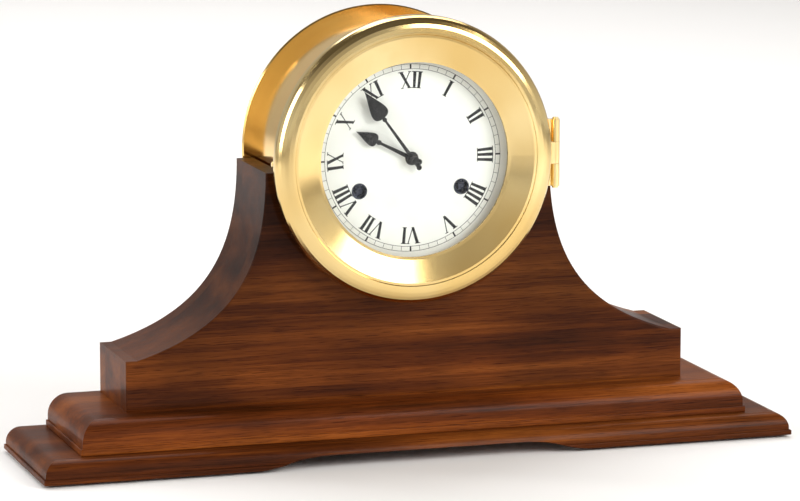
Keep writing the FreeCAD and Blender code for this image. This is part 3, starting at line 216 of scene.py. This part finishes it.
# ---------------------------------------------------------------- materials
def mahogany(name, start=(0, 0, 0), tilt=0.02, painted_drum_shadow=False, lightness=1.0):
    """Stained mahogany under polish, its grain along X. start moves the pattern, so that no two boards match.

    A board with painted drum shadow gets painted shade in its colour, which darkens it upwards from its foot
    to the horns, where the drum's shadow falls. lightness scales the colour.
    """
    n = Nodes(name)
    bands = n.noise(n.place((2.0, 20, 40), (0.12, tilt, tilt), start), detail=3, distortion=0.35)
    grain = n.noise(n.place((8, 480, 480), (0, tilt, tilt), start), detail=5, roughness=0.65)
    pores = n.noise(n.place((50, 2300, 2300), (0, tilt, tilt), start), detail=2)
    ribbon = n.noise(n.place((11, 3, 4), (0, 0.4, 0), start), detail=2)
    tone = n.math("ADD", n.math("MULTIPLY", bands, 0.66), n.math("MULTIPLY", grain, 0.34))
    colour = n.ramp(tone, (0.34, (0.026, 0.0062, 0.0012)), (0.46, (0.072, 0.0158, 0.0025)),
                    (0.56, (0.134, 0.0340, 0.0050)), (0.68, (0.228, 0.0660, 0.0108)))
    colour = n.mix(1.0, colour, n.ramp(ribbon, (0.36, 0.78 * lightness), (0.64, 1.16 * lightness)),
                   "MULTIPLY")
    # Painted shade: the colour is darkened upwards towards the horns, standing in for the shadow the drum
    # casts on the wood.
    if painted_drum_shadow:
        height = n.add("SeparateXYZ", Vector=n.place()).outputs["Z"]
        foot, top = low("front_board").z, high("front_board").z
        share = n.math("DIVIDE", n.math("SUBTRACT", height, foot), top - foot)
        colour = n.mix(1.0, colour, n.ramp(share, (0.12, 1.15), (0.40, 0.66), (0.85, 0.42)), "MULTIPLY")
    open_pores = n.ramp(pores, (0.36, 0.0), (0.44, 1.0))
    colour = n.mix(1.0, colour, n.mix(open_pores, (0.42, 0.36, 0.33), (1.0, 1.0, 1.0)), "MULTIPLY")
    relief = n.math("ADD", n.math("MULTIPLY", open_pores, 0.7), n.math("MULTIPLY", grain, 0.3))
    rough = n.math("ADD", n.math("MULTIPLY", grain, 0.2), 0.34)
    return n.set(Base_Color=colour, Roughness=rough, Normal=n.bump(relief, 0.00006, 0.5),
                 Specular_IOR_Level=0.05, Coat_Weight=0.16, Coat_Roughness=0.12, Coat_IOR=1.3)


def brass(name, light=(0.95, 0.77, 0.38), dark=(0.82, 0.56, 0.20), roughness=0.16, turned=0.0,
          centre=(0, 0, 0), haze=0.10):
    """Lacquered brass. turned gives it the fine rings of a lathe round the axis along Y through centre."""
    n = Nodes(name)
    smudges = n.noise(n.place((34, 34, 34)), detail=5, roughness=0.6)
    clouds = n.noise(n.place((9, 9, 9), start=(3, 1, 2)), detail=2)
    colour = n.mix(n.ramp(clouds, (0.38, 0.0), (0.66, 1.0)), light, dark)
    colour = n.mix(n.math("MULTIPLY", n.ramp(smudges, (0.5, 0.0), (0.75, 1.0)), 0.3), colour, dark)
    rough = n.math("ADD", n.math("MULTIPLY", smudges, haze), roughness - haze / 2)
    normal = n.bump(n.noise(n.place((420, 420, 420)), detail=2), 0.00001, 0.35)
    if turned:
        place = n.place(start=tuple(-c for c in centre))
        parts = n.add("SeparateXYZ", Vector=place)
        x, z = parts.outputs["X"], parts.outputs["Z"]
        radius = n.math("SQRT", n.math("ADD", n.math("MULTIPLY", x, x), n.math("MULTIPLY", z, z)))
        along = n.add("CombineXYZ", X=n.math("MULTIPLY", radius, 2600.0),
                      Y=n.math("MULTIPLY", parts.outputs["Y"], 2600.0))
        normal = n.bump(n.noise(along.outputs[0], detail=3), 0.000012, turned, normal)
    return n.set(Base_Color=colour, Metallic=1.0, Roughness=rough, Normal=normal, Coat_Weight=0.08,
                 Coat_Roughness=0.08)


def steel(name, tint=(0.56, 0.57, 0.60), roughness=0.28):
    """Fine-ground steel with short straight scratches."""
    n = Nodes(name)
    scratches = n.noise(n.place((900, 60, 900)), detail=3)
    stain = n.noise(n.place((60, 60, 60)), detail=3)
    dark = tuple(c * 0.7 for c in tint)
    colour = n.mix(n.ramp(stain, (0.45, 0.0), (0.7, 1.0)), tint, dark)
    rough = n.math("ADD", n.math("MULTIPLY", scratches, 0.2), roughness - 0.1)
    return n.set(Base_Color=colour, Metallic=1.0, Roughness=rough, Normal=n.bump(scratches, 0.00001, 0.6))


def felt(name, tint):
    """Short matted wool."""
    n = Nodes(name)
    fibres = n.noise(n.place((900, 900, 900)), detail=6, roughness=0.75)
    tufts = n.noise(n.place((160, 160, 160)), detail=3)
    colour = n.mix(fibres, tuple(c * 0.5 for c in tint), tuple(min(1.0, c * 1.5) for c in tint))
    height = n.math("ADD", fibres, n.math("MULTIPLY", tufts, 0.8))
    return n.set(Base_Color=colour, Roughness=0.95, Normal=n.bump(height, 0.0004, 0.9), Sheen_Weight=0.35,
                 Specular_IOR_Level=0.1)


def enamel(name):
    """The dial: silvery white paint with a fine tooth and a faint warm mottle."""
    n = Nodes(name)
    mottle = n.noise(n.place((70, 70, 70)), detail=4)
    tooth = n.noise(n.place((1800, 1800, 1800)), detail=3)
    colour = n.mix(n.ramp(mottle, (0.35, 0.0), (0.7, 1.0)), (0.90, 0.90, 0.865), (0.86, 0.86, 0.815))
    rough = n.math("ADD", n.math("MULTIPLY", tooth, 0.15), 0.38)
    return n.set(Base_Color=colour, Roughness=rough, Normal=n.bump(tooth, 0.00002, 0.5), Coat_Weight=0.15,
                 Coat_Roughness=0.3)


def lacquer(name, tint, roughness=0.22):
    """Dark lacquer or printing ink with a little dust in it."""
    n = Nodes(name)
    dust = n.noise(n.place((1400, 1400, 1400)), detail=4)
    wear = n.noise(n.place((210, 210, 210)), detail=3)
    colour = n.mix(n.ramp(wear, (0.5, 0.0), (0.8, 1.0)), tint, tuple(c * 1.9 + 0.004 for c in tint))
    rough = n.math("ADD", n.math("MULTIPLY", dust, 0.16), roughness - 0.05)
    return n.set(Base_Color=colour, Roughness=rough, Normal=n.bump(dust, 0.00001, 0.4),
                 Specular_IOR_Level=0.25, Coat_Weight=0.1, Coat_Roughness=0.1)


def clear_glass(name):
    """Thin flat glass: light passes straight through, and it mirrors at a slant."""
    n = Nodes(name)
    film = n.noise(n.place((26, 26, 26)), detail=4)
    shine = n.add("BsdfGlossy", Color=(1, 1, 1, 1), Roughness=n.ramp(film, (0.3, 0.01), (0.8, 0.05)))
    through = n.add("BsdfTransparent", Color=(0.985, 0.995, 0.99, 1))
    slant = n.math("POWER", n.add("LayerWeight", Blend=0.5).outputs["Facing"], 4.0)
    mixed = n.add("MixShader", Fac=n.math("ADD", n.math("MULTIPLY", slant, 0.35), 0.012))
    n.tree.links.new(through.outputs[0], mixed.inputs[1])
    n.tree.links.new(shine.outputs[0], mixed.inputs[2])
    n.tree.links.new(mixed.outputs[0], n.output.inputs["Surface"])
    n.tree.nodes.remove(n.shader)
    return n.material


def floor_paint(name):
    """Matt pale paper."""
    n = Nodes(name)
    cloud = n.noise(n.place((1.5, 1.5, 1.5)), detail=3)
    return n.set(Base_Color=n.mix(cloud, (0.93, 0.915, 0.90), (0.96, 0.95, 0.94)), Roughness=0.75,
                 Specular_IOR_Level=0.15)


MATERIALS = {
    "wood_plinth": mahogany("wood_plinth", (0, 0, 0), lightness=1.1),
    "wood_moulding": mahogany("wood_moulding", (4, 3, 7), 0.03, lightness=1.7),
    "wood_front": mahogany("wood_front", (9, 5, 2), 0.05, painted_drum_shadow=True),
    "wood_back": mahogany("wood_back", (2, 8, 5), -0.03, painted_drum_shadow=True),
    "wood_left": mahogany("wood_left", (7, 1, 9), 0.03, painted_drum_shadow=True),
    "wood_right": mahogany("wood_right", (5, 6, 1), -0.04, painted_drum_shadow=True),
    "case_brass": brass("case_brass", (0.88, 0.69, 0.34), (0.74, 0.51, 0.19), 0.15, turned=0.35,
                        centre=(DIAL.x, 0, DIAL.z)),
    "drum_brass": brass("drum_brass", (1.0, 0.68, 0.24), (0.95, 0.56, 0.16), 0.14, turned=0.35,
                        centre=(DIAL.x, 0, DIAL.z)),
    "fitting_brass": brass("fitting_brass", roughness=0.2),
    "movement_brass": brass("movement_brass", (0.83, 0.66, 0.33), (0.72, 0.51, 0.21), 0.3, haze=0.16),
    "bell_metal": brass("bell_metal", (0.78, 0.60, 0.33), (0.62, 0.42, 0.18), 0.22, turned=0.5,
                        centre=((low("bell") + high("bell")) / 2)),
    "steel": steel("steel"),
    "spring_steel": steel("spring_steel", (0.30, 0.33, 0.42), 0.2),
    "blued_steel": steel("blued_steel", (0.055, 0.060, 0.085), 0.3),
    "felt": felt("felt", (0.030, 0.050, 0.034)),
    "dial_enamel": enamel("dial_enamel"),
    "dial_ink": lacquer("dial_ink", (0.010, 0.010, 0.012), 0.45),
    "hand_lacquer": lacquer("hand_lacquer", (0.006, 0.006, 0.007), 0.25),
    "glass": clear_glass("glass"),
}

LOOKS = {
    "plinth": "wood_plinth", "base_moulding": "wood_moulding", "front_board": "wood_front",
    "back_board": "wood_back", "left_core_block": "wood_left", "right_core_block": "wood_right",
    "drum_shell": "drum_brass", "bell": "bell_metal", "glass": "glass", "dial": "dial_enamel",
    "hinge_pin": "fitting_brass", "flange_screws": "fitting_brass", "catch_button": "fitting_brass",
    "hairspring": "spring_steel", "going_mainspring": "spring_steel", "strike_mainspring": "spring_steel",
    "hand_nut": "hand_lacquer", "going_ratchet": "blued_steel", "strike_ratchet": "blued_steel",
    "going_winding_arbor": "blued_steel", "strike_winding_arbor": "blued_steel",
}
SLOT_LOOKS = {
    "case_brass": "case_brass", "felt": "felt", "hand_black": "hand_lacquer", "steel": "steel",
    "movement_brass": "movement_brass",
}


def dress(piece, look):
    piece.data.materials.clear()
    piece.data.materials.append(MATERIALS[look])


def dress_frame():
    """Gives every CAD node its material."""
    slots = {s["node"]: s["material_slot"] for s in frame["record"]["subparts"]}
    for node, piece in frame["nodes"].items():
        dress(piece, LOOKS.get(node) or SLOT_LOOKS[slots[node]])


# ---------------------------------------------------------------- pieces
def add_piece(name, build, look, body):
    """Turns a bmesh into a piece that rides on a body."""
    bmesh.ops.recalc_face_normals(build, faces=build.faces)
    mesh = bpy.data.meshes.new(name)
    build.to_mesh(mesh)
    build.free()
    piece = bpy.data.objects.new(name, mesh)
    bpy.context.scene.collection.objects.link(piece)
    dress(piece, look)
    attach(piece, body)
    return piece


def smooth(piece):
    piece.data.shade_smooth()
    piece.modifiers.new("even_shading", "WEIGHTED_NORMAL")


def soften(piece, width):
    """Rounds the piece's edges and smooths what is left."""
    bevel = piece.modifiers.new("soft_edges", "BEVEL")
    bevel.width, bevel.segments = width, 2
    bevel.limit_method, bevel.angle_limit = "ANGLE", math.radians(35)
    smooth(piece)


def on_dial(radius, angle, y):
    """The point at radius (mm) and angle (degrees clockwise from twelve) on the dial's axis."""
    a = math.radians(angle)
    return Vector((DIAL.x + radius * MM * math.sin(a), y, DIAL.z + radius * MM * math.cos(a)))


def prism(build, corners, front, back):
    """A flat shape with thickness. corners are (radius, angle) places on the dial."""
    outer = [build.verts.new(on_dial(r, a, front)) for r, a in corners]
    inner = [build.verts.new(on_dial(r, a, back)) for r, a in corners]
    build.faces.new(outer)
    build.faces.new(inner[::-1])
    for i, j in ring_of(len(corners)):
        build.faces.new((outer[i], inner[i], inner[j], outer[j]))


def turned(build, profile, x, z, segments):
    """A closed (radius, y) profile in metres, turned about the line along Y through (x, z)."""
    rows = []
    for i in range(segments):
        a = 2 * math.pi * i / segments
        rows.append([build.verts.new((x + r * math.sin(a), y, z + r * math.cos(a))) for r, y in profile])
    for row, after in zip(rows, rows[1:] + rows[:1]):
        for i, j in ring_of(len(profile)):
            build.faces.new((row[i], row[j], after[j], after[i]))


# ---------------------------------------------------------------- dial print, in millimetres
PRINT_SINK = 0.02 * MM          # every printed shape starts this far inside the dial
NUMERAL_FOOT = 53.8             # radius at which the numerals stand
NUMERAL_HEIGHT = 13.0
NUMERAL_MIDDLE = NUMERAL_FOOT + NUMERAL_HEIGHT / 2
HEAVY, LIGHT_STROKE = 2.3, 0.75
SERIF, SERIF_REACH = 0.6, 0.8   # thickness, and how far it stands out on each side of its stroke
LETTER_WIDTH = {"I": HEAVY, "V": 8.6, "X": 8.6}
LETTER_GAP = 1.7
TRACK_INNER, TRACK_OUTER, TRACK_LINE = 68.4, 72.2, 0.35
BROAD_TICK, FINE_TICK = 1.3, 0.3
# How far each kind of print stands up. They differ, so that no two faces lie in one plane.
HEAVY_LIFT, THIN_LIFT, SERIF_LIFT = 0.07, 0.06, 0.05
HOURS = ("XII", "I", "II", "III", "IIII", "V", "VI", "VII", "VIII", "IX", "X", "XI")


def letter_strokes(letter):
    """(left at the foot, left at the top, width, reaches the foot's serif) of each stroke."""
    wide = LETTER_WIDTH[letter]
    if letter == "I":
        return [(0, 0, HEAVY, True)]
    if letter == "V":
        middle = wide / 2
        return [(middle - HEAVY / 2, 0, HEAVY, False),
                (middle - LIGHT_STROKE / 2, wide - LIGHT_STROKE, LIGHT_STROKE, False)]
    return [(wide - HEAVY, 0, HEAVY, True), (0.5, wide - LIGHT_STROKE - 0.5, LIGHT_STROKE, True)]


def make_numerals():
    """Roman numerals that stand on a ring, feet to the centre."""
    build = bmesh.new()
    back = DIAL_FRONT + PRINT_SINK

    def bar(angle, lefts, width, heights, lift):
        """A stroke between two heights, from its left side at each of them. It widens outwards."""
        to_degrees = math.degrees(1 / NUMERAL_MIDDLE)
        foot, top = zip(lefts, heights)
        corners = [(NUMERAL_FOOT + height, angle + (left + side * width) * to_degrees)
                   for side, (left, height) in ((0, foot), (0, top), (1, top), (1, foot))]
        prism(build, corners, DIAL_FRONT - lift * MM, back)

    for hour, text in enumerate(HOURS):
        total = sum(LETTER_WIDTH[c] for c in text) + LETTER_GAP * (len(text) - 1)
        start = -total / 2
        for letter in text:
            for foot, top, width, has_foot in letter_strokes(letter):
                lift = HEAVY_LIFT if width == HEAVY else THIN_LIFT
                bar(30 * hour, (start + foot, start + top), width, (0, NUMERAL_HEIGHT), lift)
                serifs = [(top, (NUMERAL_HEIGHT - SERIF, NUMERAL_HEIGHT))]
                if has_foot:
                    serifs.append((foot, (0, SERIF)))
                for place, heights in serifs:
                    left = start + place - SERIF_REACH
                    bar(30 * hour, (left, left), width + 2 * SERIF_REACH, heights, SERIF_LIFT)
            start += LETTER_WIDTH[letter] + LETTER_GAP
    add_piece("dial_numerals", build, "dial_ink", "case")


def make_minute_track():
    """Two rings with sixty ticks between them, every fifth one broad."""
    build = bmesh.new()
    back = DIAL_FRONT + PRINT_SINK
    front = DIAL_FRONT - SERIF_LIFT * MM
    for radius in (TRACK_INNER, TRACK_OUTER):
        inner, outer = radius * MM, (radius + TRACK_LINE) * MM
        turned(build, [(inner, back), (inner, front), (outer, front), (outer, back)], DIAL.x, DIAL.z, 180)
    for minute in range(60):
        half = (BROAD_TICK if minute % 5 == 0 else FINE_TICK) / 2
        spread = math.degrees(half / TRACK_OUTER)
        end = TRACK_OUTER + TRACK_LINE / 2
        corners = [(TRACK_INNER, 6 * minute - spread), (end, 6 * minute - spread),
                   (end, 6 * minute + spread), (TRACK_INNER, 6 * minute + spread)]
        prism(build, corners, DIAL_FRONT - THIN_LIFT * MM, back)
    add_piece("dial_minute_track", build, "dial_ink", "case")


# ---------------------------------------------------------------- eyelets, in millimetres
ROUND_STEPS = 64
EYELET_GAP, RATCHET_GAP = 0.02, 0.3     # from the lip to the dial, and from the sleeve to the ratchet
EYELET_BORE, EYELET_SLEEVE = 4.95, 5.4
# The rolled lip, as (radius, height above the dial), from its outer edge in to the bore.
EYELET_LIP = ((6.2, 0), (6.15, 0.2), (5.95, 0.38), (5.6, 0.45), (5.25, 0.36), (5.02, 0.1),
              (EYELET_BORE, -0.4))


def make_eyelets():
    """A turned eyelet in each winding hole, with a sleeve that runs back towards the ratchet."""
    for train in ("going", "strike"):
        node = train + "_winding_arbor"
        x = (low(node).x + high(node).x) / 2
        z = (low(node).z + high(node).z) / 2
        end = RATCHET_FRONT - RATCHET_GAP * MM
        build = bmesh.new()
        lip = DIAL_FRONT - EYELET_GAP * MM
        profile = [(radius, lip - rise * MM) for radius, rise in EYELET_LIP]
        profile += [(EYELET_BORE, end), (EYELET_SLEEVE, end), (EYELET_SLEEVE, lip)]
        turned(build, [(r * MM, y) for r, y in profile], x, z, ROUND_STEPS)
        smooth(add_piece(train + "_eyelet", build, "blued_steel", "case"))


# ---------------------------------------------------------------- hands, in millimetres
HOUR, MINUTE = 9, 54            # the time the clock stands at
HAND_BEVEL = 0.16
# Node: body, angle from twelve, length, half width of the waist, middle of the spade as a share of
# the length, radius of the boss, radius of its bore.
HANDS = {
    "hour_hand": ("hour_train", 30 * (HOUR + MINUTE / 60), 50.0, 1.6, 0.72, 5.2, 3.4),
    "minute_hand": ("centre_train", 6 * MINUTE, 66.0, 1.4, 0.70, 4.2, 2.4),
}
TAIL = 0.13                     # a hand's tail, as a share of its length
CAP_FOOT, CAP_NECK, CAP_DOME, CAP_TIP = 3.3, 3.05, 2.9, 0.3     # radii, from the foot to the nose
CAP_RISE = 0.5                  # how far the cap stands out past the nut


def bezier(poles, t):
    """The point at t on the cubic curve with these four poles."""
    weights = ((1 - t) ** 3, 3 * t * (1 - t) ** 2, 3 * t * t * (1 - t), t**3)
    return tuple(sum(w * p[k] for w, p in zip(weights, poles)) for k in (0, 1))


def spade_outline(length, boss, waist, spade, tail):
    """Right half of a spade hand that points up, as (x, z) from the tail's end to the tip."""
    knob = waist * 1.5
    points = []
    for i in range(7):
        a = i * math.pi / 8
        points.append((knob * math.sin(a), -tail - knob * math.cos(a)))
    start = math.asin(waist / boss)
    for i in range(17):
        a = start + (math.pi - 2 * start) * i / 16
        points.append((boss * math.sin(a), -boss * math.cos(a)))
    middle, width = length * spade, length * 0.085
    neck = middle - width * 1.15
    bead, stem = waist * 1.25, waist * 0.62
    points.append((stem, neck - bead * 1.6))
    for i in range(1, 6):
        a = i * math.pi / 6
        points.append((stem + (bead - stem) * math.sin(a), neck - bead * 0.8 - bead * 0.8 * math.cos(a)))
    points.append((waist * 0.5, neck))
    poles = [(waist * 0.5, neck), (width * 2.3, middle - width * 0.95),
             (width * 0.62, middle + width * 1.1), (0.0, length)]
    return points + [bezier(poles, i / 24) for i in range(1, 25)]


def make_hand(node):
    """A bevelled spade hand, in the place and at the hour of the CAD hand that it stands for."""
    body, turn, length, waist, spade, boss, bore = HANDS[node]
    right = spade_outline(length, boss, waist, spade, TAIL * length)
    outline = right + [(-x, z) for x, z in right[-2:0:-1]]
    hole = [(bore * math.sin(a), bore * math.cos(a)) for a in (i * math.pi / 16 for i in range(32))]
    front, back = low(node).y, high(node).y
    build = bmesh.new()

    def place(x, z, y):
        return on_dial(math.hypot(x, z), turn + math.degrees(math.atan2(x, z)), y)

    loops = []
    for points in (outline, hole):
        verts = [build.verts.new(place(x, z, back)) for x, z in points]
        loops += [build.edges.new((a, b)) for a, b in zip(verts, verts[1:] + verts[:1])]
    filled = bmesh.ops.triangle_fill(build, use_beauty=True, use_dissolve=False, edges=loops)
    faces = [f for f in filled["geom"] if isinstance(f, bmesh.types.BMFace)]
    raised = bmesh.ops.extrude_face_region(build, geom=faces, use_keep_orig=True)
    moved = [v for v in raised["geom"] if isinstance(v, bmesh.types.BMVert)]
    bmesh.ops.translate(build, verts=moved, vec=(0, front - back, 0))
    piece = add_piece(node + "_spade", build, "hand_lacquer", body)
    soften(piece, HAND_BEVEL * MM)
    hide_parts(node)


def make_hand_cap():
    """The domed cap over the end of the centre arbor, which holds the hands on."""
    foot, nose = high("hand_nut").y, low("hand_nut").y - CAP_RISE * MM
    depth = foot - nose
    rows = [(CAP_TIP, 0), (CAP_FOOT, 0), (CAP_FOOT, 0.30), (CAP_NECK, 0.42)]
    for i in range(7):
        a = i * math.pi / 14
        rows.append((CAP_DOME * math.cos(a), 0.48 + 0.5 * math.sin(a)))
    rows.append((CAP_TIP, 1))
    build = bmesh.new()
    turned(build, [(r * MM, foot - share * depth) for r, share in rows], DIAL.x, DIAL.z, ROUND_STEPS)
    cap = add_piece("hand_cap", build, "hand_lacquer", "centre_train")
    smooth(cap)
    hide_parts("hand_nut")


def make_floor():
    """A pale floor that curves up far behind."""
    mesh = bpy.data.meshes.new("floor")
    near, far, curve, top, side_reach = -5.0, 5.0, 2.0, 5.0, 8.0
    rows = [(near, 0.0), (far, 0.0)]
    for i in range(1, 9):
        a = i * math.pi / 16
        rows.append((far + curve * math.sin(a), curve - curve * math.cos(a)))
    rows.append((far + curve, top))
    points = [(side * side_reach, y, z) for y, z in rows for side in (-1, 1)]
    faces = [(2 * i, 2 * i + 1, 2 * i + 3, 2 * i + 2) for i in range(len(rows) - 1)]
    mesh.from_pydata(points, [], faces)
    mesh.shade_smooth()
    mesh.materials.append(floor_paint("floor_paper"))
    floor = bpy.data.objects.new("floor", mesh)
    bpy.context.scene.collection.objects.link(floor)


make_camera()
make_lights()
make_world()
make_floor()
dress_frame()
make_numerals()
make_minute_track()
make_eyelets()
for hand in HANDS:
    make_hand(hand)
make_hand_cap()
bpy.context.scene.view_settings.view_transform = "Standard"

bpy.context.view_layer.update()
